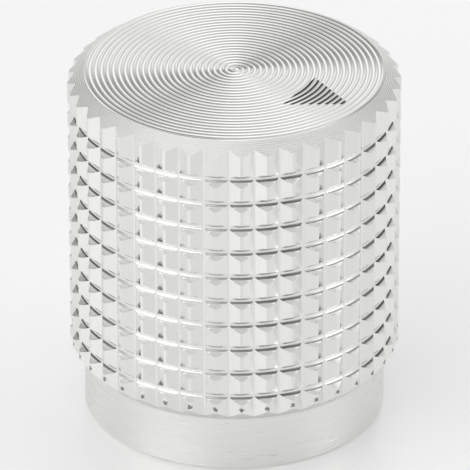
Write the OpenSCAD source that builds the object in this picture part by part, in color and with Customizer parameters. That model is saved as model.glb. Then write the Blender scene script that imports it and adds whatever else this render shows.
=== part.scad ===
// Turned aluminium control knob with a straight knurl that ring grooves cut into studs.
// Millimetres. The origin is the centre of the base, +Z runs up the turning axis, and the
// pointer mark on the top face points along +X.

/* [Body] */
// Diameter over the knurl crests
crest_d = 15.3; // [13:0.1:20]
// Height from the base to the ridges of the top face
body_h = 17.2; // [15.5:0.1:24]
// Height of the plain collar under the knurl
collar_h = 2.75; // [1.5:0.05:4]
// Step in from the crests to the collar, which is also the height of the 45 degree bevel there
collar_step = 0.64; // [0.45:0.01:1.2]
// Bevel on the bottom edge of the collar
base_bevel = 0.15; // [0.05:0.01:0.4]

/* [Knurl] */
// Number of knurl teeth
tooth_count = 40; // [24:1:60]
// Depth of the knurl valleys below the crests
tooth_depth = 0.34; // [0.25:0.01:0.34]
// Width left on each crest
crest_land = 0.14; // [0.1:0.01:0.3]
// Turn of the first crest from the pointer, in degrees
knurl_turn = 1; // [0:0.5:9]

/* [Ring grooves] */
// Spacing of the grooves that are turned across the knurl
groove_pitch = 1.25; // [0.9:0.01:2]
// Depth of the grooves below the crests, a little more than the knurl's, so that each runs right round
groove_depth = 0.36; // [0.36:0.01:0.42]
// Angle between the two flanks of a groove, in degrees
groove_angle = 52; // [46:1:70]
// Width of the flat floor of a groove
groove_floor = 0.2; // [0.1:0.01:0.2]
// Height of the middle of the lowest groove above the bevel at the collar
groove_rise = 0.76; // [0.42:0.01:1.2]

/* [Top face] */
// Step in from the crests to the ringed face
face_step = 0.8; // [0.5:0.05:1.5]
// Height of the bevel round the ringed face
face_bevel_h = 0.57; // [0.3:0.01:1.2]
// Spacing of the turned rings
ring_pitch = 0.271; // [0.2:0.001:0.6]
// Depth of the turned rings
ring_depth = 0.05; // [0.03:0.01:0.1]

/* [Pointer] */
// Side of the triangular pointer mark
pointer_side = 2.89; // [1.5:0.01:4]
// Distance of its tip from the edge of the ringed face
pointer_inset = 0.63; // [0.4:0.01:2]
// Share of each ring's depth that the lacquer fills
lacquer_fill = 0.6; // [0.3:0.05:0.9]

/* [Shaft bore] */
// Diameter of the shaft that the knob fits
shaft_d = 6; // [4:0.1:6.4]
// Clearance all round the shaft
shaft_gap = 0.05; // [0.02:0.01:0.1]
// Depth of the bore to the end of its straight wall
bore_depth = 12.5; // [8:0.1:13]
// Bevel at the mouth of the bore
mouth_bevel = 0.3; // [0.1:0.05:0.6]
// Point angle of the drill that made the bore
drill_angle = 118; // [110:1:140]

/* [Grub screw] */
// Thread diameter of the grub screw
screw_d = 3; // [2:0.5:4]
// Clearance between the screw and its hole
screw_gap = 0.03; // [0.01:0.01:0.1]
// Height of the screw's axis above the base
screw_z = 6; // [4.5:0.1:9]
// Distance that the cup point stays back from the bore
screw_back = 0.1; // [0.05:0.01:0.3]
// Step between the lengths that the screw is sold in
screw_len_step = 0.5; // [0.25:0.25:1]
// Least distance of the screw's outer end below the knurl valleys
screw_sink = 0.1; // [0.05:0.01:0.5]
// Width across flats of the hexagon socket
socket_af = 1.5; // [0.9:0.1:1.7]
// Depth of the hexagon socket
socket_depth = 1.6; // [0.8:0.1:2]
// Diameter of the cup point
cup_d = 1.4; // [0.8:0.1:1.8]
// Bevel at both ends of the thread
screw_bevel = 0.35; // [0.1:0.05:0.4]

/* [Hidden] */
$fn = 96;

crest_r = crest_d / 2;
valley_r = crest_r - tooth_depth;
collar_r = crest_r - collar_step;
face_r = crest_r - face_step;
bore_r = shaft_d / 2 + shaft_gap;

// Half a tooth space and half a crest land, as angles
half_step = 180 / tooth_count;
half_land = asin(crest_land / 2 / crest_r);

// Where a flank that runs from the valley through the edge of the land meets the tooth's centre line
valley_x = valley_r * cos(half_step);
valley_y = valley_r * sin(half_step);
edge_x = crest_r * cos(half_land);
edge_y = crest_r * sin(half_land);
tip_r = valley_x + (edge_x - valley_x) * valley_y / (valley_y - edge_y);

// The crests run from the bevel at the collar to the bevel at the top face
crest_low = collar_h + collar_step;
crest_high = body_h - face_bevel_h;
groove_half = groove_floor / 2 + groove_depth * tan(groove_angle / 2);
groove_floor_r = crest_r - groove_depth;
groove_low = crest_low + groove_rise;
groove_count = 1 + floor((crest_high - groove_half - groove_low) / groove_pitch);

ring_count = floor(face_r / ring_pitch);

// Distance of the pointer's centre from the turning axis
pointer_r = face_r - pointer_inset - pointer_side / sqrt(3);

drill_tip = bore_r / tan(drill_angle / 2);

// The longest screw on sale that stays below the knurl valleys
screw_room = valley_r - screw_sink - bore_r - screw_back;
screw_len = floor(screw_room / screw_len_step) * screw_len_step;
cut_past = 1;

function polar(r, a) = [r * cos(a), r * sin(a)];

// Half section of the turned blank, from the axis at the base round to the axis at the top
blank_section = [
    [0, 0],
    [collar_r - base_bevel, 0],
    [collar_r, base_bevel],
    [collar_r, collar_h],
    [crest_r, crest_low],
    for (i = [0 : groove_count - 1])
        let (z = groove_low + i * groove_pitch)
            each [
                [crest_r, z - groove_half],
                [groove_floor_r, z - groove_floor / 2],
                [groove_floor_r, z + groove_floor / 2],
                [crest_r, z + groove_half],
            ],
    [crest_r, crest_high],
    [face_r, body_h],
    for (i = [1 : ring_count])
        let (r = face_r - i * ring_pitch)
            each [[r + ring_pitch / 2, body_h - ring_depth], [r, body_h]],
    [0, body_h],
];

// Outline of the knurl, with sharp teeth that the blank cuts back to the crest land
knurl_outline = [
    for (i = [0 : tooth_count - 1])
        let (a = knurl_turn + 2 * half_step * i)
            each [polar(tip_r, a), polar(valley_r, a + half_step)],
];

// The blank with the knurl's teeth
module knurled_blank() {
    intersection() {
        rotate_extrude() polygon(blank_section);
        translate([0, 0, -cut_past]) linear_extrude(body_h + 2 * cut_past) polygon(knurl_outline);
    }
}

// Blind bore for the shaft, with a bevelled mouth and the drill's point at its end
module shaft_bore() {
    rotate_extrude()
        polygon([
            [0, -cut_past],
            [bore_r + mouth_bevel + cut_past, -cut_past],
            [bore_r, mouth_bevel],
            [bore_r, bore_depth],
            [0, bore_depth + drill_tip],
        ]);
}

// Puts a shape that stands on the turning axis along the grub screw's own axis, away from the pointer
module along_screw() {
    translate([0, 0, screw_z]) rotate([0, -90, 0]) children();
}

module knob_body() {
    color("gainsboro")
        difference() {
            knurled_blank();
            shaft_bore();
            along_screw() cylinder(h = crest_r + cut_past, r = screw_d / 2 + screw_gap);
        }
}

// Headless screw with a cup point at the bore and a hexagon socket at its outer end
module grub_screw() {
    screw_r = screw_d / 2;
    cup_r = cup_d / 2;
    color("dimgray")
        along_screw()
            translate([0, 0, bore_r + screw_back])
                difference() {
                    rotate_extrude()
                        polygon([
                            [0, cup_r / 2],
                            [cup_r, 0],
                            [screw_r, screw_r - cup_r],
                            [screw_r, screw_len - screw_bevel],
                            [screw_r - screw_bevel, screw_len],
                            [0, screw_len],
                        ]);
                    translate([0, 0, screw_len - socket_depth])
                        cylinder(h = socket_depth + cut_past, d = socket_af / cos(30), $fn = 6);
                }
}

// Lacquer in the bottoms of the turned rings, inside the triangle of the pointer
module pointer_lacquer() {
    lacquer_h = ring_depth * lacquer_fill;
    lacquer_half = ring_pitch / 2 * lacquer_fill;
    floor_z = body_h - ring_depth;
    color("black")
        intersection() {
            for (i = [0 : ring_count - 1])
                let (r = face_r - (i + 0.5) * ring_pitch)
                    if (r > pointer_r - pointer_side && r < pointer_r + pointer_side)
                        rotate_extrude()
                            polygon([
                                [r, floor_z],
                                [r + lacquer_half, floor_z + lacquer_h],
                                [r - lacquer_half, floor_z + lacquer_h],
                            ]);
            translate([pointer_r, 0, floor_z - cut_past])
                linear_extrude(2 * cut_past)
                    circle(r = pointer_side / sqrt(3), $fn = 3);
        }
}

knob_body();
grub_screw();
pointer_lacquer();
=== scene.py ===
"""Studio scene of a bright-turned aluminium control knob with a studded grip."""

import logging
import math
from dataclasses import dataclass, field
from enum import Enum
from typing import Callable, Iterable, Sequence

import bmesh
import bpy
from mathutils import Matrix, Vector


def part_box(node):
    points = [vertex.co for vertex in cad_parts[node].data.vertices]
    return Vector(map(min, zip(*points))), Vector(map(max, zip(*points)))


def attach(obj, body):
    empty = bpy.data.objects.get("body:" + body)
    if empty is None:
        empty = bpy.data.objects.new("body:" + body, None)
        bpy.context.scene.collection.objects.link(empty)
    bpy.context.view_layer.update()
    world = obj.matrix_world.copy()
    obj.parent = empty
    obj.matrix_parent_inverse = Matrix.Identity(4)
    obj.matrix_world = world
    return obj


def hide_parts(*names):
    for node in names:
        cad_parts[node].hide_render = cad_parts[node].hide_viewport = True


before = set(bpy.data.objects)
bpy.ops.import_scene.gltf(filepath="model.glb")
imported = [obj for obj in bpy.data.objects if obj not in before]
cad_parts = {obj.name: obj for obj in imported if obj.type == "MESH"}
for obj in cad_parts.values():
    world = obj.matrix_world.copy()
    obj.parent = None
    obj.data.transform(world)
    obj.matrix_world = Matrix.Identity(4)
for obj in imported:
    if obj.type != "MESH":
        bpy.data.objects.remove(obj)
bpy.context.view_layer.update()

MM = 0.001
BODY = "root"
SHARP_ANGLE = math.radians(28)
WELD = 0.0002 * MM
HALVINGS = 40
KIND_NAME = "surface"
KIND_MARGIN = 0.1
UPRIGHT_RISE = 0.02
FLANK_TILT = 0.1
BEVEL_RISE = 0.5

log = logging.getLogger("knob")

Point = tuple[float, float, float]
Colour = tuple[float, float, float, float]
Socket = bpy.types.NodeSocket
Value = float | Socket

WHITE: Colour = (1.0, 1.0, 1.0, 1.0)


class Surface(Enum):
    """How a face of the knob was cut, as written in its face attribute."""

    TURNED = 0.0
    KNURLED = 1.0
    BEVELLED = 2.0


class TreeBuilder:
    """Adds nodes to one node tree and links them."""

    def __init__(self, tree: bpy.types.NodeTree) -> None:
        """Keeps the tree that the nodes go into."""
        self.tree = tree

    def add(self, kind: str, **settings: object) -> bpy.types.Node:
        """Adds a node.

        Args:
            kind: Blender's type name of the node.
            settings: properties of the node to set.

        Returns:
            The new node.
        """
        node = self.tree.nodes.new(kind)
        for name, value in settings.items():
            setattr(node, name, value)
        return node

    def feed(self, into: Socket, value: object) -> None:
        """Links a socket to an input, or writes a plain value into it."""
        if isinstance(value, bpy.types.NodeSocket):
            self.tree.links.new(value, into)
        else:
            into.default_value = value

    def math(self, operation: str, *values: Value) -> Socket:
        """Adds a Math node and returns its result.

        Args:
            operation: the node's operation, such as ADD.
            values: sockets or numbers for its inputs, in order.

        Returns:
            The result socket.
        """
        node = self.add("ShaderNodeMath", operation=operation)
        for into, value in zip(node.inputs, values):
            self.feed(into, value)
        return node.outputs[0]

    def combine(self, x: Value, y: Value, z: Value) -> Socket:
        """Adds a Combine XYZ node and returns its vector."""
        node = self.add("ShaderNodeCombineXYZ")
        for into, value in zip(node.inputs, (x, y, z)):
            self.feed(into, value)
        return node.outputs[0]

    def noise(self, vector: Socket, detail: float) -> Socket:
        """Adds a Noise Texture and returns its value.

        Args:
            vector: place in the noise, where its cells are one unit wide.
            detail: how many finer layers it has.

        Returns:
            The value, between 0 and 1.
        """
        node = self.add("ShaderNodeTexNoise")
        self.feed(node.inputs["Vector"], vector)
        self.feed(node.inputs["Scale"], 1.0)
        self.feed(node.inputs["Detail"], detail)
        return node.outputs[0]

    def grained(self, size: float) -> Socket:
        """Gives the place on the object, counted in grains of a size."""
        node = self.add("ShaderNodeVectorMath", operation="SCALE")
        self.feed(node.inputs[0], self.add("ShaderNodeTexCoord").outputs["Object"])
        self.feed(node.inputs["Scale"], 1 / size)
        return node.outputs[0]

    def length(self, x: Socket, y: Socket) -> Socket:
        """Gives the length of a flat vector from its two parts."""
        squares = self.math("ADD", self.math("MULTIPLY", x, x), self.math("MULTIPLY", y, y))
        return self.math("SQRT", squares)

    def swing(self, share: Socket, middle: float, width: float) -> Socket:
        """Gives a number that runs across a width about its middle, as a share runs from 0 to 1."""
        return self.math("MULTIPLY_ADD", share, width, middle - width / 2)

    def blend(self, share: Value, first: Value, second: Value) -> Socket:
        """Mixes two numbers by a share and returns the result."""
        node = self.add("ShaderNodeMix", data_type="FLOAT")
        for into, value in zip(node.inputs[0:1] + node.inputs[2:4], (share, first, second)):
            self.feed(into, value)
        return node.outputs[0]

    def blend_colour(self, share: Value, first: Sequence[float], second: Sequence[float]) -> Socket:
        """Mixes two colours by a share and returns the result."""
        node = self.add("ShaderNodeMix", data_type="RGBA")
        for into, value in zip(node.inputs[0:1] + node.inputs[6:8], (share, first, second)):
            self.feed(into, value)
        return node.outputs[2]


def new_material(name: str) -> tuple[bpy.types.Material, TreeBuilder, bpy.types.NodeInputs]:
    """Makes a material.

    Args:
        name: name of the material.

    Returns:
        The material, a builder for its tree and the inputs of its shader.
    """
    made = bpy.data.materials.new(name)
    made.use_nodes = True
    shader = made.node_tree.nodes["Principled BSDF"]
    return made, TreeBuilder(made.node_tree), shader.inputs


def new_object(name: str, mesh: bpy.types.Mesh) -> bpy.types.Object:
    """Makes an object at the origin that shows a mesh.

    Args:
        name: name of the piece.
        mesh: its mesh, with the place in its vertices.

    Returns:
        The linked object.
    """
    thing = bpy.data.objects.new(name, mesh)
    bpy.context.scene.collection.objects.link(thing)
    return thing


def grid_mesh(name: str, rows: Sequence[Sequence[Point]], closed: bool) -> bpy.types.Mesh:
    """Makes a mesh of quads from rows of points, and merges the points that fall together.

    Args:
        name: name of the mesh.
        rows: rows of equal length, which run to the left of the direction of a row.
        closed: whether the last point of a row joins its first.

    Returns:
        The new mesh.
    """
    width = len(rows[0])
    across = width if closed else width - 1
    faces = []
    for i in range(len(rows) - 1):
        for j in range(across):
            k = (j + 1) % width
            faces.append((i * width + j, i * width + k, (i + 1) * width + k, (i + 1) * width + j))
    mesh = bpy.data.meshes.new(name)
    mesh.from_pydata([p for row in rows for p in row], [], faces)
    weld(mesh)
    return mesh


def weld(mesh: bpy.types.Mesh) -> None:
    """Merges the points of a mesh that fall together and drops the faces that vanish."""
    work = bmesh.new()
    work.from_mesh(mesh)
    merge_points(work)
    work.to_mesh(mesh)
    work.free()


def merge_points(work: bmesh.types.BMesh) -> None:
    """Merges the points of an open mesh that fall together and drops the faces that vanish."""
    bmesh.ops.remove_doubles(work, verts=work.verts, dist=WELD)
    bmesh.ops.dissolve_degenerate(work, edges=work.edges, dist=WELD)


def polar(radius: float, angle: float, z: float) -> Point:
    """Turns a radius, an angle and a height into a point."""
    return (radius * math.cos(angle), radius * math.sin(angle), z)


def apply_modifiers(piece: bpy.types.Object) -> None:
    """Replaces a piece's mesh by its evaluated one and removes its modifiers."""
    graph = bpy.context.evaluated_depsgraph_get()
    shown = piece.evaluated_get(graph)
    made = bpy.data.meshes.new_from_object(shown, preserve_all_data_layers=True, depsgraph=graph)
    piece.modifiers.clear()
    piece.data = made


def shade_by_angle(mesh: bpy.types.Mesh) -> None:
    """Shades a mesh smooth, with sharp edges where its faces meet at a clear angle."""
    mesh.shade_smooth()
    mesh.set_sharp_from_angle(angle=SHARP_ANGLE)


@dataclass(frozen=True)
class TurnedAluminium:
    """Bright aluminium with fine tool lines, round the axis where turned and upright where knurled; the
    bevel is painted lighter, with painted highlights along its feed ridges, and the burrs get dark spots of
    painted shade.
    """

    light: Colour = (0.88, 0.88, 0.865, 1.0)
    dark: Colour = (0.80, 0.80, 0.78, 1.0)
    roughness: float = 0.15
    roughness_swing: float = 0.06
    line_width: float = 0.09 * MM
    lines_along: float = 5.0
    streak_width: float = 0.07 * MM
    streak_length: float = 1.2 * MM
    collar_top: float = 2.7 * MM
    collar_lines: float = 35.0
    knurl_lines: float = 4.0
    feed: float = 0.052 * MM
    feed_lines: float = 8.0
    feed_patch: float = 1.5
    bevel_roughness: float = 0.4
    # The bevel is painted lighter than the rest of the metal, with painted highlights on the crests of its
    # feed ridges and painted shade in their hollows.
    bevel_ridge_highlight: Colour = (1.0, 1.0, 0.985, 1.0)
    bevel_hollow_shade: Colour = (0.88, 0.88, 0.865, 1.0)
    line_depth: float = 0.001 * MM
    # Painted shade: the burrs at the lower ends of the crests are drawn as dark spots of colour.
    burr_shade: Colour = (0.25, 0.25, 0.24, 1.0)
    burr_height: float = 3.58 * MM
    burr_radius: float = 7.0 * MM
    burr_size: float = 0.26 * MM
    burr_grain: float = 0.075 * MM
    burr_cover: float = 0.9
    line_detail: float = 2.0
    patch_detail: float = 1.0

    def burr_shade_spots(self, build: TreeBuilder, place: Sequence[Socket], tooth_count: int, turn: float) -> Socket:
        """Adds the nodes that find the burrs at the lower ends of the knurl's crests, whose shade is painted
        there as dark ragged spots.

        Args:
            build: builder of the material's tree.
            place: angle, radius and height of the shaded point.
            tooth_count: number of the knurl's teeth.
            turn: angle of a tooth's crest.

        Returns:
            1 where the burrs' painted shade goes and 0 elsewhere.
        """
        angle, radius, z = place
        step = 2 * math.pi / tooth_count
        valley = turn - step / 2
        share = build.math("FRACT", build.math("DIVIDE", build.math("SUBTRACT", angle, valley), step))
        aside = build.math("MULTIPLY", build.math("MULTIPLY_ADD", share, step, -step / 2), radius)
        above = build.math("SUBTRACT", z, self.burr_height)
        away = build.math("DIVIDE", build.length(aside, above), self.burr_size)
        rag = build.noise(build.grained(self.burr_grain), self.line_detail)
        near = build.math("LESS_THAN", build.math("ADD", away, rag), self.burr_cover)
        return build.math("MULTIPLY", near, build.math("GREATER_THAN", radius, self.burr_radius))

    def material(self, tooth_count: int, turn: float) -> bpy.types.Material:
        """Builds the material.

        Args:
            tooth_count: number of the knurl's teeth.
            turn: angle of a tooth's crest.

        Returns:
            The material.
        """
        made, build, shader = new_material("turned_aluminium")
        place = build.add("ShaderNodeSeparateXYZ")
        build.feed(place.inputs[0], build.add("ShaderNodeTexCoord").outputs["Object"])
        x, y, z = place.outputs
        radius = build.length(x, y)
        angle = build.math("ARCTAN2", y, x)
        kind = build.add("ShaderNodeAttribute", attribute_name=KIND_NAME).outputs["Fac"]
        knurled = build.math("COMPARE", kind, Surface.KNURLED.value, KIND_MARGIN)
        bevelled = build.math("COMPARE", kind, Surface.BEVELLED.value, KIND_MARGIN)

        turned = build.noise(build.combine(
            build.math("DIVIDE", radius, self.line_width),
            build.math("MULTIPLY", angle, self.lines_along),
            build.math("DIVIDE", z, self.line_width),
        ), self.line_detail)
        upright = build.noise(build.combine(
            build.math("DIVIDE", build.math("MULTIPLY", angle, radius), self.streak_width),
            build.math("DIVIDE", radius, self.streak_width),
            build.math("DIVIDE", z, self.streak_length),
        ), self.line_detail)
        lines = build.blend(knurled, turned, upright)
        wave = build.math("COSINE", build.math("MULTIPLY", z, 2 * math.pi / self.feed))
        plain = build.blend_colour(lines, self.dark, self.light)
        # Painted highlight along the crests of the bevel's feed ridges, and painted shade in their hollows.
        ridge_highlight_share = build.math("MULTIPLY_ADD", wave, 0.5, 0.5)
        painted_ridge_sheen = build.blend_colour(ridge_highlight_share, self.bevel_hollow_shade, self.bevel_ridge_highlight)
        # Dark spots of painted shade where the burrs stand.
        painted_burr_shade = self.burr_shade_spots(build, (angle, radius, z), tooth_count, turn)
        bare = build.blend_colour(bevelled, plain, painted_ridge_sheen)
        build.feed(shader["Base Color"], build.blend_colour(painted_burr_shade, bare, self.burr_shade))
        rough = build.swing(lines, self.roughness, self.roughness_swing)
        rough = build.math("MULTIPLY_ADD", bevelled, self.bevel_roughness, rough)
        build.feed(shader["Roughness"], rough)
        build.feed(shader["Metallic"], 1.0)

        on_collar = build.math("LESS_THAN", z, self.collar_top)
        depth = build.math("MULTIPLY_ADD", on_collar, self.collar_lines - 1.0, 1.0)
        depth = build.math("MULTIPLY_ADD", knurled, self.knurl_lines - 1.0, depth)
        relief = build.math("MULTIPLY", lines, depth)
        along = build.combine(build.math("MULTIPLY", angle, self.feed_patch), 0.0, 0.0)
        patch = build.noise(along, self.patch_detail)
        ridges = build.math("MULTIPLY", build.math("MULTIPLY", wave, patch), bevelled)
        feed = build.math("MULTIPLY", ridges, self.feed_lines)
        bump = build.add("ShaderNodeBump")
        build.feed(bump.inputs["Height"], build.math("ADD", relief, feed))
        build.feed(bump.inputs["Distance"], self.line_depth)
        build.feed(shader["Normal"], bump.outputs["Normal"])
        return made


@dataclass(frozen=True)
class BlackLacquer:
    """Satin black lacquer that lies in the bottoms of the rings, a little thin in places."""

    thick: Colour = (0.008, 0.008, 0.008, 1.0)
    thin: Colour = (0.03, 0.03, 0.028, 1.0)
    roughness: float = 0.42
    roughness_swing: float = 0.12
    grain: float = 0.12 * MM
    grain_detail: float = 3.0

    def material(self) -> bpy.types.Material:
        """Builds the material and returns it."""
        made, build, shader = new_material("black_lacquer")
        grain = build.noise(build.grained(self.grain), self.grain_detail)
        build.feed(shader["Base Color"], build.blend_colour(grain, self.thick, self.thin))
        rough = build.swing(grain, self.roughness, self.roughness_swing)
        build.feed(shader["Roughness"], rough)
        return made


@dataclass(frozen=True)
class BlackenedSteel:
    """Black-oxide steel of the grub screw, mottled as it comes out of the bath."""

    dark: Colour = (0.035, 0.035, 0.038, 1.0)
    light: Colour = (0.09, 0.088, 0.085, 1.0)
    roughness: float = 0.38
    roughness_swing: float = 0.16
    grain: float = 0.2 * MM
    grain_detail: float = 4.0

    def material(self) -> bpy.types.Material:
        """Builds the material and returns it."""
        made, build, shader = new_material("blackened_steel")
        grain = build.noise(build.grained(self.grain), self.grain_detail)
        build.feed(shader["Base Color"], build.blend_colour(grain, self.dark, self.light))
        rough = build.swing(grain, self.roughness, self.roughness_swing)
        build.feed(shader["Roughness"], rough)
        build.feed(shader["Metallic"], 1.0)
        return made


@dataclass
class Thread:
    """Plain V thread of the grub screw and of its hole."""

    radius: float = 1.5 * MM
    pitch: float = 0.5 * MM
    depth: float = 0.27 * MM
    columns: int = 48
    rows_per_turn: int = 6

    def radius_at(self, along: float, angle: float) -> float:
        """Gives the radius of the thread.

        Args:
            along: distance along the screw's axis.
            angle: angle round that axis.

        Returns:
            The radius, between the root and the crest.
        """
        turn = (along / self.pitch - angle / (2 * math.pi)) % 1.0
        return self.radius - self.depth * (1 - abs(2 * turn - 1))

    def row(self, along: float, limit: float, gap: float = 0.0) -> list[Point]:
        """Makes one row of points round the screw's axis.

        Args:
            along: distance along the axis.
            limit: largest radius that the row may reach.
            gap: clearance to add to the thread.

        Returns:
            The points of the row.
        """
        turns = [2 * math.pi * j / self.columns for j in range(self.columns)]
        return [polar(min(limit, self.radius_at(along, a) + gap), a, along) for a in turns]


@dataclass
class KnobBody:
    """The one-piece turned and knurled body."""

    crest_radius: float
    height: float
    finish: TurnedAluminium = field(default_factory=TurnedAluminium)
    collar_height: float = 2.75 * MM
    collar_step: float = 0.64 * MM
    corner_round: float = 0.06 * MM
    corner_low: float = 0.2
    corner_high: float = 0.7
    base_bevel: float = 0.15 * MM
    tooth_count: int = 40
    tooth_depth: float = 0.34 * MM
    crest_land: float = 0.14 * MM
    knurl_turn: float = math.radians(1)
    valley_round: float = 0.06 * MM
    groove_count: int = 10
    groove_pitch: float = 1.25 * MM
    groove_depth: float = 0.325 * MM
    groove_lean: float = math.radians(25)
    groove_round: float = 0.23 * MM
    groove_steps: int = 4
    groove_rise: float = 0.76 * MM
    face_step: float = 0.8 * MM
    face_bevel: float = 0.57 * MM
    ring_pitch: float = 0.271 * MM
    ring_depth: float = 0.05 * MM
    ring_phase: float = 0.71
    ring_samples: int = 6
    face_columns: int = 6
    bore_radius: float = 3.05 * MM
    bore_depth: float = 12.5 * MM
    mouth_bevel: float = 0.3 * MM
    drill_tip: float = 1.83 * MM

    def __post_init__(self) -> None:
        """Works out the radii, angles and heights that the driving sizes give."""
        self.valley_radius = self.crest_radius - self.tooth_depth
        self.collar_radius = self.crest_radius - self.collar_step
        self.face_radius = self.crest_radius - self.face_step
        self.half_step = math.pi / self.tooth_count
        self.half_land = math.asin(self.crest_land / 2 / self.crest_radius)
        self.valley = Vector((math.cos(self.half_step), math.sin(self.half_step))) * self.valley_radius
        self.land_edge = Vector((math.cos(self.half_land), math.sin(self.half_land))) * self.crest_radius
        flank = self.valley - self.land_edge
        self.flank_turn = math.atan2(-flank.x, flank.y)
        self.bevel_slope = self.face_bevel / self.face_step
        self.rim_radius = self.face_radius + self.ring_depth / self.bevel_slope
        self.rim_height = self.height - self.ring_depth
        low = self.collar_height + self.collar_step + self.groove_rise
        self.groove_heights = [low + i * self.groove_pitch for i in range(self.groove_count)]
        self.groove_floor = self.crest_radius - self.groove_depth
        self.groove_tangent = self.groove_round * math.cos(self.groove_lean)
        self.groove_lift = self.groove_round * (1 - math.sin(self.groove_lean))

    def flank_point(self, share: float) -> tuple[float, float]:
        """Gives the angle and radius of a point on a tooth's flank.

        Args:
            share: place along the flank, from 0 at the land to 1 at the valley.

        Returns:
            The angle from the tooth's centre and the radius.
        """
        spot = self.land_edge.lerp(self.valley, share)
        return math.atan2(spot.y, spot.x), spot.length

    def flank_share(self, radius: float) -> float:
        """Gives how far along a flank a radius is met, from 0 at the land to 1 at the valley."""
        low, high = 0.0, 1.0
        for _ in range(HALVINGS):
            middle = (low + high) / 2
            low, high = (middle, high) if self.flank_point(middle)[1] > radius else (low, middle)
        return low

    def groove_radius(self, away: float) -> float:
        """Gives the radius of a ring groove at a height away from its centre."""
        if away <= self.groove_tangent:
            return self.groove_floor + self.groove_round - math.sqrt(self.groove_round**2 - away**2)
        beyond = away - self.groove_tangent
        return self.groove_floor + self.groove_lift + beyond / math.tan(self.groove_lean)

    def groove_reach(self, radius: float) -> float:
        """Gives the height from a groove's centre at which it comes out at a radius."""
        rise = max(0.0, radius - self.groove_floor)
        if rise >= self.groove_lift:
            return self.groove_tangent + (rise - self.groove_lift) * math.tan(self.groove_lean)
        return math.sqrt(self.groove_round**2 - (self.groove_round - rise) ** 2)

    def tooth_columns(self) -> list[tuple[float, float]]:
        """Gives the angle and radius of each column of one tooth, from valley to valley."""
        lean = self.half_step - self.flank_turn
        flank_length = (self.valley - self.land_edge).length
        tangent = self.valley_round * math.tan(abs(lean)) / flank_length
        root_lift = self.valley_round * (1 / math.cos(lean) - 1)
        half = [(self.half_land, self.crest_radius)]
        floor_share = min(self.flank_share(self.groove_floor), 1 - 2 * tangent)
        half.append(self.flank_point(floor_share / 2))
        half.append(self.flank_point(floor_share))
        half.append(self.flank_point(1 - tangent))
        arc_centre = self.valley_radius + self.valley_round / math.cos(lean)
        quarter = abs(lean) / 2
        spot_angle = self.half_step - self.valley_round * math.sin(quarter) / self.valley_radius
        half.append((spot_angle, arc_centre - self.valley_round * math.cos(quarter)))
        half.append((self.half_step, self.valley_radius + root_lift))
        return [(-a, r) for a, r in reversed(half)] + half

    def sector_rows(self) -> list[list[Point]]:
        """Lays out one tooth's share of the body, from the drill point round to the rim of the top face."""
        columns = self.tooth_columns()
        angles = [a for a, _ in columns]
        fillet = self.corner_round
        profile = [
            (0.0, self.bore_depth + self.drill_tip),
            (self.bore_radius, self.bore_depth),
            (self.bore_radius, self.mouth_bevel),
            (self.bore_radius + self.mouth_bevel, 0.0),
            (self.collar_radius - self.base_bevel, 0.0),
            (self.collar_radius, self.base_bevel),
            (self.collar_radius, self.collar_height - fillet),
            (self.collar_radius + fillet * self.corner_low, self.collar_height - fillet * self.corner_low),
            (self.collar_radius + fillet * self.corner_high, self.collar_height + fillet * self.corner_high),
        ]
        rows = [[polar(r, a, z) for a in angles] for r, z in profile]
        rows.append([polar(r, a, self.collar_height + r - self.collar_radius) for a, r in columns])
        for centre in self.groove_heights:
            rows += self.groove_rows(centre, columns)
        rows.append([polar(r, a, self.bevel_height(r)) for a, r in columns])
        last = len(columns) - 1
        share = [round(i * self.face_columns / last) / self.face_columns for i in range(len(columns))]
        rim = [self.half_step * (2 * s - 1) for s in share]
        rows.append([polar(self.rim_radius, a, self.rim_height) for a in rim])
        return rows

    def groove_rows(self, centre: float, columns: Sequence[tuple[float, float]]) -> list[list[Point]]:
        """Lays out the rows of points across one ring groove.

        Args:
            centre: height of the groove's centre.
            columns: angle and radius of the tooth's columns.

        Returns:
            The rows from below to above, which fall together where the knurl's valley is the deeper cut.
        """
        spread = math.pi / 2 - self.groove_lean
        steps = self.groove_steps
        arc = [self.groove_round * math.sin(spread * i / steps) for i in range(steps + 1)]
        places = [-math.inf] + [-z for z in reversed(arc[1:])] + arc + [math.inf]
        rows = []
        for place in places:
            row = []
            for angle, radius in columns:
                away = min(abs(place), self.groove_reach(radius))
                outline = min(radius, self.groove_radius(away))
                row.append(polar(outline, angle, centre + math.copysign(away, place)))
            rows.append(row)
        return rows

    def bevel_height(self, radius: float) -> float:
        """Gives the height of the top bevel at a radius."""
        return self.height - (radius - self.face_radius) * self.bevel_slope

    def build(self, screw: "GrubScrew") -> bpy.types.Object:
        """Builds the body's mesh.

        Args:
            screw: the grub screw that the cross hole is tapped for.

        Returns:
            The body's object.
        """
        metal = self.finish.material(self.tooth_count, self.knurl_turn)
        sector = grid_mesh("knob_body", self.sector_rows(), closed=False)
        sector.materials.append(metal)
        self.mark_flanks(sector)
        body = new_object("knob_body_turned", sector)
        self.turn_round(body, metal)
        self.tap_cross_hole(body, screw, metal)
        shade_by_angle(body.data)
        return body

    def tap_cross_hole(self, body: bpy.types.Object, screw: "GrubScrew", metal: bpy.types.Material) -> None:
        """Cuts the threaded hole of the grub screw from the knurl into the bore.

        Args:
            body: the body to cut.
            screw: the grub screw that goes into the hole.
            metal: the body's material, which the hole gets too.
        """
        cutter = new_object("cross_hole", screw.hole_mesh(self.crest_radius))
        cutter.data.materials.append(metal)
        cut = body.modifiers.new("cross_hole", "BOOLEAN")
        cut.operation = "DIFFERENCE"
        cut.solver = "EXACT"
        cut.object = cutter
        apply_modifiers(body)
        bpy.data.objects.remove(cutter)
        while len(body.data.materials) > 1:
            body.data.materials.pop()

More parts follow.
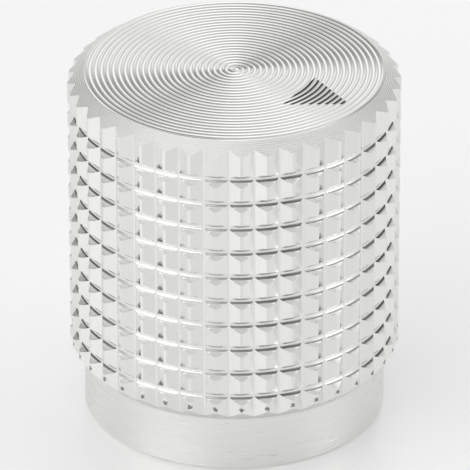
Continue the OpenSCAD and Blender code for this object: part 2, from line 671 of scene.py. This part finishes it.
    def groove_centre(self, turn: int, angle: float) -> float:
        """Gives the radius of the spiral's groove.

        Args:
            turn: number of the turn, counted from the axis.
            angle: angle round the axis, within half a turn of the pointer.

        Returns:
            The radius of the groove's lowest point.
        """
        share = (angle - self.knurl_turn + self.half_step) / (2 * math.pi)
        return (turn + 0.5 - share - self.ring_phase) * self.ring_pitch

    def groove_height(self, across: float) -> float:
        """Gives the height of the ringed face at a share of half a pitch from a groove's lowest point."""
        return self.height - self.ring_depth * (1 - across * across)

    def mark_flanks(self, sector: bpy.types.Mesh) -> None:
        """Writes on each face of the sector whether it was turned, knurled or bevelled."""
        kinds = sector.attributes.new(KIND_NAME, "FLOAT", "FACE")
        for face in sector.polygons:
            outward = math.hypot(face.center.x, face.center.y) > self.valley_radius - self.valley_round
            upright = abs(face.normal.z) < UPRIGHT_RISE
            sideways = abs(face.normal.y) > FLANK_TILT
            kind = Surface.KNURLED if outward and upright and sideways else Surface.TURNED
            if face.center.z > self.groove_heights[-1] and face.normal.z > BEVEL_RISE:
                kind = Surface.BEVELLED
            kinds.data[face.index].value = kind.value

    def turn_round(self, body: bpy.types.Object, metal: bpy.types.Material) -> None:
        """Repeats the sector round the axis and closes it with the spiral-turned face, by Geometry Nodes.

        Args:
            body: the object that holds the sector.
            metal: the body's material.
        """
        tree = bpy.data.node_groups.new("turned_body", "GeometryNodeTree")
        sockets = {}
        for name, kind in (
            ("Geometry", "NodeSocketGeometry"),
            ("Tooth Count", "NodeSocketInt"),
            ("Turn", "NodeSocketFloat"),
            ("Height", "NodeSocketFloat"),
            ("Face Radius", "NodeSocketFloat"),
            ("Rim Radius", "NodeSocketFloat"),
            ("Bevel Slope", "NodeSocketFloat"),
            ("Ring Pitch", "NodeSocketFloat"),
            ("Ring Depth", "NodeSocketFloat"),
            ("Ring Phase", "NodeSocketFloat"),
            ("Face Columns", "NodeSocketInt"),
            ("Ring Samples", "NodeSocketInt"),
            ("Material", "NodeSocketMaterial"),
        ):
            sockets[name] = tree.interface.new_socket(name, in_out="INPUT", socket_type=kind)
        tree.interface.new_socket("Geometry", in_out="OUTPUT", socket_type="NodeSocketGeometry")
        build = TreeBuilder(tree)
        given = build.add("NodeGroupInput").outputs
        teeth = self.ring_of_teeth(build, given)
        face = self.spiral_face(build, given)
        join = build.add("GeometryNodeJoinGeometry")
        build.feed(join.inputs[0], face)
        build.feed(join.inputs[0], teeth)
        merge = build.add("GeometryNodeMergeByDistance")
        build.feed(merge.inputs["Geometry"], join.outputs[0])
        build.feed(merge.inputs["Distance"], WELD)
        dress = build.add("GeometryNodeSetMaterial")
        build.feed(dress.inputs["Geometry"], merge.outputs[0])
        build.feed(dress.inputs["Material"], given["Material"])
        build.feed(build.add("NodeGroupOutput").inputs[0], dress.outputs[0])

        modifier = body.modifiers.new("turned_body", "NODES")
        modifier.node_group = tree
        values = {
            "Tooth Count": self.tooth_count,
            "Turn": self.knurl_turn,
            "Height": self.height,
            "Face Radius": self.face_radius,
            "Rim Radius": self.rim_radius,
            "Bevel Slope": self.bevel_slope,
            "Ring Pitch": self.ring_pitch,
            "Ring Depth": self.ring_depth,
            "Ring Phase": self.ring_phase,
            "Face Columns": self.face_columns * self.tooth_count,
            "Ring Samples": self.ring_samples,
            "Material": metal,
        }
        for name, value in values.items():
            modifier[sockets[name].identifier] = value
        apply_modifiers(body)

    def ring_of_teeth(self, build: TreeBuilder, given: bpy.types.NodeOutputs) -> Socket:
        """Adds the nodes that repeat the sector round the axis.

        Args:
            build: builder of the tree.
            given: outputs of the tree's input node.

        Returns:
            Geometry of all the sectors.
        """
        points = build.add("GeometryNodePoints")
        build.feed(points.inputs["Count"], given["Tooth Count"])
        step = build.math("DIVIDE", 2 * math.pi, given["Tooth Count"])
        index = build.add("GeometryNodeInputIndex").outputs[0]
        angle = build.math("MULTIPLY_ADD", index, step, given["Turn"])
        spin = build.add("FunctionNodeAxisAngleToRotation")
        build.feed(spin.inputs["Angle"], angle)
        place = build.add("GeometryNodeInstanceOnPoints")
        build.feed(place.inputs["Points"], points.outputs[0])
        build.feed(place.inputs["Instance"], given["Geometry"])
        build.feed(place.inputs["Rotation"], spin.outputs[0])
        real = build.add("GeometryNodeRealizeInstances")
        build.feed(real.inputs["Geometry"], place.outputs[0])
        return real.outputs[0]

    def spiral_face(self, build: TreeBuilder, given: bpy.types.NodeOutputs) -> Socket:
        """Adds the nodes that lay a grid along the spiral of the facing cut, with a scalloped section.

        Args:
            build: builder of the tree.
            given: outputs of the tree's input node.

        Returns:
            Geometry of the face.
        """
        pitches = build.math("DIVIDE", given["Rim Radius"], given["Ring Pitch"])
        turns = build.math("ADD", build.math("CEIL", pitches), 2.0)
        rows = build.math("MULTIPLY", turns, given["Ring Samples"])
        grid = build.add("GeometryNodeMeshGrid")
        build.feed(grid.inputs["Size X"], 1.0)
        build.feed(grid.inputs["Size Y"], 1.0)
        build.feed(grid.inputs["Vertices X"], build.math("ADD", given["Face Columns"], 1.0))
        build.feed(grid.inputs["Vertices Y"], build.math("ADD", rows, 1.0))
        place = build.add("ShaderNodeSeparateXYZ")
        build.feed(place.inputs[0], build.add("GeometryNodeInputPosition").outputs[0])
        round_share = build.math("ADD", place.outputs[0], 0.5)
        inward = build.math("MULTIPLY", build.math("ADD", place.outputs[1], 0.5), turns)
        half_tooth = build.math("DIVIDE", math.pi, given["Tooth Count"])
        start = build.math("SUBTRACT", given["Turn"], half_tooth)
        angle = build.math("MULTIPLY_ADD", round_share, 2 * math.pi, start)
        outermost = build.math("SUBTRACT", turns, 1.0)
        out = build.math("SUBTRACT", outermost, build.math("ADD", inward, round_share))
        out = build.math("ADD", out, build.math("SUBTRACT", 1.0, given["Ring Phase"]))
        free_radius = build.math("MULTIPLY", out, given["Ring Pitch"])
        radius = build.math("MINIMUM", build.math("MAXIMUM", free_radius, 0.0), given["Rim Radius"])
        turned = build.math("ADD", build.math("DIVIDE", radius, given["Ring Pitch"]), round_share)
        cell = build.math("FRACT", build.math("ADD", turned, given["Ring Phase"]))
        across = build.math("MULTIPLY_ADD", cell, 2.0, -1.0)
        hollow = build.math("SUBTRACT", 1.0, build.math("MULTIPLY", across, across))
        fade = build.math("MINIMUM", build.math("DIVIDE", radius, given["Ring Pitch"]), 1.0)
        depth = build.math("MULTIPLY", build.math("MULTIPLY", hollow, fade), given["Ring Depth"])
        ringed = build.math("SUBTRACT", given["Height"], depth)
        beyond = build.math("SUBTRACT", radius, given["Face Radius"])
        bevel = build.math("SUBTRACT", given["Height"], build.math("MULTIPLY", beyond, given["Bevel Slope"]))
        z = build.math("MINIMUM", ringed, bevel)
        x = build.math("MULTIPLY", radius, build.math("COSINE", angle))
        y = build.math("MULTIPLY", radius, build.math("SINE", angle))
        move = build.add("GeometryNodeSetPosition")
        build.feed(move.inputs["Geometry"], grid.outputs["Mesh"])
        build.feed(move.inputs["Position"], build.combine(x, y, z))
        return move.outputs[0]


@dataclass
class GrubScrew:
    """Headless screw with a hexagon socket and a cup point, on the side away from the pointer."""

    bore_radius: float
    finish: BlackenedSteel = field(default_factory=BlackenedSteel)
    thread: Thread = field(default_factory=Thread)
    length: float = 4.0 * MM
    height: float = 6.0 * MM
    back: float = 0.1 * MM
    gap: float = 0.03 * MM
    cup_radius: float = 0.7 * MM
    bevel: float = 0.35 * MM
    socket_flats: float = 1.5 * MM
    socket_depth: float = 1.6 * MM
    socket_bevel: float = 0.06 * MM
    past: float = 0.6 * MM

    def place(self, rows: Iterable[Sequence[Point]]) -> list[list[Point]]:
        """Turns rows laid out along the screw into the knob's frame."""
        start = self.bore_radius + self.back
        return [[(-(start + z), y, self.height + x) for x, y, z in row] for row in rows]

    def socket_row(self, along: float, grow: float) -> list[Point]:
        """Makes a row round the hexagon socket.

        Args:
            along: distance along the screw.
            grow: distance to widen the hexagon by.

        Returns:
            The points of the row.
        """
        sixth = math.pi / 3
        row = []
        for j in range(self.thread.columns):
            angle = 2 * math.pi * j / self.thread.columns
            off = (angle + sixth / 2) % sixth - sixth / 2
            row.append(polar((self.socket_flats / 2 + grow) / math.cos(off), angle, along))
        return row

    def side_rows(
        self, first: float, last: float, limit: Callable[[float], float], gap: float
    ) -> list[list[Point]]:
        """Makes the threaded rows of the screw or of its hole.

        Args:
            first: where the thread starts along the screw.
            last: where it ends.
            limit: largest radius at a place along the screw.
            gap: clearance to add to the thread.

        Returns:
            The rows, in order.
        """
        step = self.thread.pitch / self.thread.rows_per_turn
        count = round((last - first) / step)
        places = [first + (last - first) * i / count for i in range(count + 1)]
        return [self.thread.row(z, limit(z), gap) for z in places]

    def mesh(self) -> bpy.types.Mesh:
        """Builds the screw's mesh, from the cup point round to the bottom of the socket."""
        def limit(z: float) -> float:
            """Gives the largest radius between the two bevels."""
            outer = self.thread.radius - self.bevel + (self.length - z)
            return min(self.cup_radius + z, outer)

        floor = self.length - self.socket_depth
        rows = [[(0.0, 0.0, self.cup_radius / 2)] * self.thread.columns]
        rows += self.side_rows(0.0, self.length, limit, 0.0)
        rows.append(self.socket_row(self.length, self.socket_bevel))
        rows.append(self.socket_row(self.length - self.socket_bevel, 0.0))
        rows.append(self.socket_row(floor, 0.0))
        rows.append([(0.0, 0.0, floor - self.socket_flats / 4)] * self.thread.columns)
        return grid_mesh("grub_screw", self.place(rows), closed=True)

    def hole_mesh(self, crest_radius: float) -> bpy.types.Mesh:
        """Builds the shape of the tapped hole.

        Args:
            crest_radius: radius of the knob, which the hole goes through.

        Returns:
            A closed threaded rod that reaches from inside the bore to outside the knob.
        """
        first = -self.bore_radius / 3 - self.back
        last = crest_radius + self.past - self.bore_radius - self.back
        rows = [[(0.0, 0.0, first)] * self.thread.columns]
        rows += self.side_rows(first, last, lambda z: self.thread.radius + self.gap, self.gap)
        rows.append([(0.0, 0.0, last)] * self.thread.columns)
        return grid_mesh("cross_hole", self.place(rows), closed=True)

    def build(self) -> bpy.types.Object:
        """Builds the screw and returns its object."""
        mesh = self.mesh()
        mesh.materials.append(self.finish.material())
        shade_by_angle(mesh)
        return new_object("grub_screw_threaded", mesh)


@dataclass
class PointerLacquer:
    """Black lacquer that fills the bottoms of the spiral's grooves inside the pointer triangle."""

    body: KnobBody
    finish: BlackLacquer = field(default_factory=BlackLacquer)
    side: float = 3.025 * MM
    centre_radius: float = 4.483 * MM
    turn: float = math.radians(5)
    spread: float = 0.53
    sag: float = 0.15
    lines: int = 7
    steps: int = 28
    tries: int = 800

    def inside(self, radius: float, angle: float) -> bool:
        """Says whether a point of the face lies inside the triangle."""
        x, y, _ = polar(radius, angle, 0.0)
        off = Vector((x - self.centre_radius, y))
        ahead = off.x * math.cos(self.turn) + off.y * math.sin(self.turn)
        aside = off.y * math.cos(self.turn) - off.x * math.sin(self.turn)
        tip = self.side / math.sqrt(3)
        return -tip / 2 <= ahead <= tip and abs(aside) <= (tip - ahead) / math.sqrt(3)

    def span(self, turn: int, across: float) -> tuple[float, float] | None:
        """Finds where a line along a groove enters and leaves the triangle.

        Args:
            turn: number of the spiral's turn.
            across: place of the line across the groove, from -1 to 1.

        Returns:
            The two angles, or None if the line misses the triangle.
        """
        reach = math.atan2(self.side, self.centre_radius)
        angles = [reach * (2 * i / self.tries - 1) for i in range(self.tries + 1)]
        hits = [a for a in angles if self.inside(self.line_radius(turn, across, a), a)]
        return (hits[0], hits[-1]) if len(hits) > 1 else None

    def line_radius(self, turn: int, across: float, angle: float) -> float:
        """Gives the radius of a line along a groove at an angle."""
        return self.body.groove_centre(turn, angle) + across * self.body.ring_pitch / 2

    def arc_rows(self, turn: int) -> tuple[list[list[Point]], list[list[Point]]] | None:
        """Lays out the lacquer in one turn of the groove.

        Args:
            turn: number of the spiral's turn.

        Returns:
            The rows of the top and those of the bottom, or None if the turn misses the triangle.
        """
        places = [self.spread * (1 - 2 * i / (self.lines - 1)) for i in range(self.lines)]
        spans = [self.span(turn, across) for across in places]
        if None in spans:
            return None
        level = self.body.groove_height(self.spread)
        top, bottom = [], []
        for across, (first, last) in zip(places, spans):
            dip = self.sag * self.body.ring_depth * (1 - (across / self.spread) ** 2)
            low = self.body.groove_height(across)
            high = max(low, level - dip)
            angles = [first + (last - first) * i / self.steps for i in range(self.steps + 1)]
            top.append([polar(self.line_radius(turn, across, a), a, high) for a in angles])
            bottom.append([polar(self.line_radius(turn, across, a), a, low) for a in angles])
        return top, bottom

    def build(self) -> bpy.types.Object:
        """Builds the lacquer's mesh and returns its object."""
        work = bmesh.new()
        for turn in range(int(self.body.face_radius / self.body.ring_pitch) + 2):
            sheets = self.arc_rows(turn)
            if sheets:
                self.add_arc(work, *sheets)
        merge_points(work)
        bmesh.ops.recalc_face_normals(work, faces=work.faces)
        mesh = bpy.data.meshes.new("pointer_lacquer")
        work.to_mesh(mesh)
        work.free()
        mesh.materials.append(self.finish.material())
        shade_by_angle(mesh)
        return new_object("pointer_lacquer_fill", mesh)

    def add_arc(self, work: bmesh.types.BMesh, top: list[list[Point]], bottom: list[list[Point]]) -> None:
        """Adds one closed arc of lacquer to a mesh.

        Args:
            work: the mesh.
            top: rows of points along the upper surface.
            bottom: the same rows on the groove.
        """
        upper = [[work.verts.new(p) for p in row] for row in top]
        lower = [[work.verts.new(p) for p in row] for row in bottom]
        for i in range(len(upper) - 1):
            for j in range(self.steps):
                work.faces.new((upper[i][j], upper[i + 1][j], upper[i + 1][j + 1], upper[i][j + 1]))
                work.faces.new((lower[i][j], lower[i][j + 1], lower[i + 1][j + 1], lower[i + 1][j]))
            for j in (0, self.steps):
                work.faces.new((upper[i][j], lower[i][j], lower[i + 1][j], upper[i + 1][j]))


@dataclass(frozen=True)
class SkyLight:
    """One soft patch of light in the studio's sky.

    The angles are in degrees, and the azimuth counts to the right of the camera. The light falls to half
    its level at the spread.
    """

    name: str
    azimuth: float
    elevation: float
    spread: float
    level: float

    def direction(self, front: float) -> Vector:
        """Gives the direction of the light's centre.

        Args:
            front: angle of the camera's side of the knob.

        Returns:
            A unit vector.
        """
        rise = math.radians(self.elevation)
        return Vector(polar(math.cos(rise), front + math.radians(self.azimuth), math.sin(rise)))

    def glow(self, build: TreeBuilder, toward: Socket, front: float) -> Socket:
        """Adds the nodes for the light's level in each direction.

        Args:
            build: builder of the sky's tree.
            toward: direction that is looked in.
            front: angle of the camera's side of the knob.

        Returns:
            The level.
        """
        facing = build.add("ShaderNodeVectorMath", operation="DOT_PRODUCT")
        build.feed(facing.inputs[0], toward)
        build.feed(facing.inputs[1], self.direction(front))
        fall = math.log(2) / (1 - math.cos(math.radians(self.spread)))
        power = build.math("MULTIPLY_ADD", facing.outputs["Value"], fall, -fall)
        return build.math("MULTIPLY", build.math("EXPONENT", power), self.level)


@dataclass
class Studio:
    """Pale floor, soft light and the camera."""

    camera_azimuth: float = math.radians(34.5)
    camera_elevation: float = math.radians(28.85)
    camera_distance: float = 310 * MM
    camera_lens: float = 512.6
    camera_shift: float = 0.0013
    clip_start: float = 10 * MM
    clip_end: float = 5.0
    aim_height: float = 8.52 * MM
    floor_half: float = 2.0
    floor_drop: float = 0.002 * MM
    floor_colour: Colour = (0.92, 0.92, 0.92, 1.0)
    floor_lift: float = 0.23
    floor_roughness: float = 0.3
    floor_gloss: float = 1.0
    dim_level: float = 0.03
    lights: tuple[SkyLight, ...] = (
        SkyLight("overhead", 0, 90, 15, 1.1),
        SkyLight("front top", -10, 64, 17, 0.65),
        SkyLight("front fill", 14, 18, 18, 0.2),
        SkyLight("left top", -105, 62, 14, 1.05),
        SkyLight("right top", 112, 62, 16, 1.1),
        SkyLight("left softbox", -55, 12, 18, 1.2),
        SkyLight("left softbox, front edge", -30, 20, 15, 1.1),
        SkyLight("left softbox, upper half", -64, 33, 19, 1.05),
        SkyLight("right softbox", 73, 10, 17, 1.8),
        SkyLight("back left", -130, 36, 13, 0.7),
        SkyLight("back right", 157, 39, 17, 0.95),
        SkyLight("back wall", 169, 15, 13, 0.95),
        SkyLight("back wall, left half", -164, 13, 12, 1.0),
    )

    def build(self) -> None:
        """Makes the sky, the floor and the camera."""
        bpy.context.scene.view_settings.view_transform = "Standard"
        self.light_sky()
        self.lay_floor()
        self.place_camera()

    def light_sky(self) -> None:
        """Makes a dim world with the soft lights in it."""
        world = bpy.data.worlds.new("studio")
        world.use_nodes = True
        bpy.context.scene.world = world
        build = TreeBuilder(world.node_tree)
        toward = build.add("ShaderNodeTexCoord").outputs["Generated"]
        front = self.camera_azimuth - math.pi / 2
        total: Value = self.dim_level
        for light in self.lights:
            total = build.math("ADD", light.glow(build, toward, front), total)
            log.info("%s at level %.2f", light.name, light.level)
        background = world.node_tree.nodes["Background"]
        build.feed(background.inputs["Color"], WHITE)
        build.feed(background.inputs["Strength"], total)

    def lay_floor(self) -> None:
        """Makes the pale floor that the knob stands on."""
        far, low = self.floor_half, -self.floor_drop
        mesh = bpy.data.meshes.new("floor")
        corners = [(-far, -far, low), (far, -far, low), (far, far, low), (-far, far, low)]
        mesh.from_pydata(corners, [], [(0, 1, 2, 3)])
        mesh.materials.append(self.floor_material())
        new_object("floor", mesh)
        log.info("floor laid")

    def floor_material(self) -> bpy.types.Material:
        """Builds a pale satin material that looks a little lighter than it is lit, and returns it."""
        made, build, shader = new_material("floor")
        path = build.add("ShaderNodeLightPath").outputs
        seen = build.math("ADD", path["Is Camera Ray"], path["Is Glossy Ray"])
        seen = build.math("MINIMUM", build.math("ADD", seen, path["Is Transmission Ray"]), 1.0)
        build.feed(shader["Base Color"], self.floor_colour)
        build.feed(shader["Roughness"], self.floor_roughness)
        build.feed(shader["Specular IOR Level"], self.floor_gloss)
        build.feed(shader["Emission Color"], WHITE)
        build.feed(shader["Emission Strength"], build.math("MULTIPLY", seen, self.floor_lift))
        return made

    def place_camera(self) -> None:
        """Makes the camera at the viewing angle of the product shot."""
        data = bpy.data.cameras.new("camera")
        data.lens = self.camera_lens
        data.shift_x = self.camera_shift
        data.clip_start = self.clip_start
        data.clip_end = self.clip_end
        camera = bpy.data.objects.new("camera", data)
        level = math.cos(self.camera_elevation)
        back = Vector((
            math.sin(self.camera_azimuth) * level,
            -math.cos(self.camera_azimuth) * level,
            math.sin(self.camera_elevation),
        ))
        camera.location = Vector((0, 0, self.aim_height)) + back * self.camera_distance
        camera.rotation_mode = "QUATERNION"
        camera.rotation_quaternion = (-back).to_track_quat("-Z", "Y")
        bpy.context.scene.collection.objects.link(camera)
        bpy.context.scene.camera = camera


def seat(piece: bpy.types.Object, node: str) -> None:
    """Puts a finished piece in the place of a solid.

    Args:
        piece: the dressed piece.
        node: the solid that it stands for.
    """
    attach(piece, BODY)
    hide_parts(node)
    log.info("%s: %d faces", piece.name, len(piece.data.polygons))


def main() -> None:
    """Builds the knob and its studio."""
    logging.basicConfig(level=logging.INFO, format="%(name)s: %(message)s")
    low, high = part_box("knob_body")
    body = KnobBody(crest_radius=(high.x - low.x) / 2, height=high.z)
    screw = GrubScrew(bore_radius=body.bore_radius)
    lacquer = PointerLacquer(body)
    seat(body.build(screw), "knob_body")
    seat(screw.build(), "grub_screw")
    seat(lacquer.build(), "pointer_lacquer")
    Studio().build()


if __name__ == "__main__":
    main()
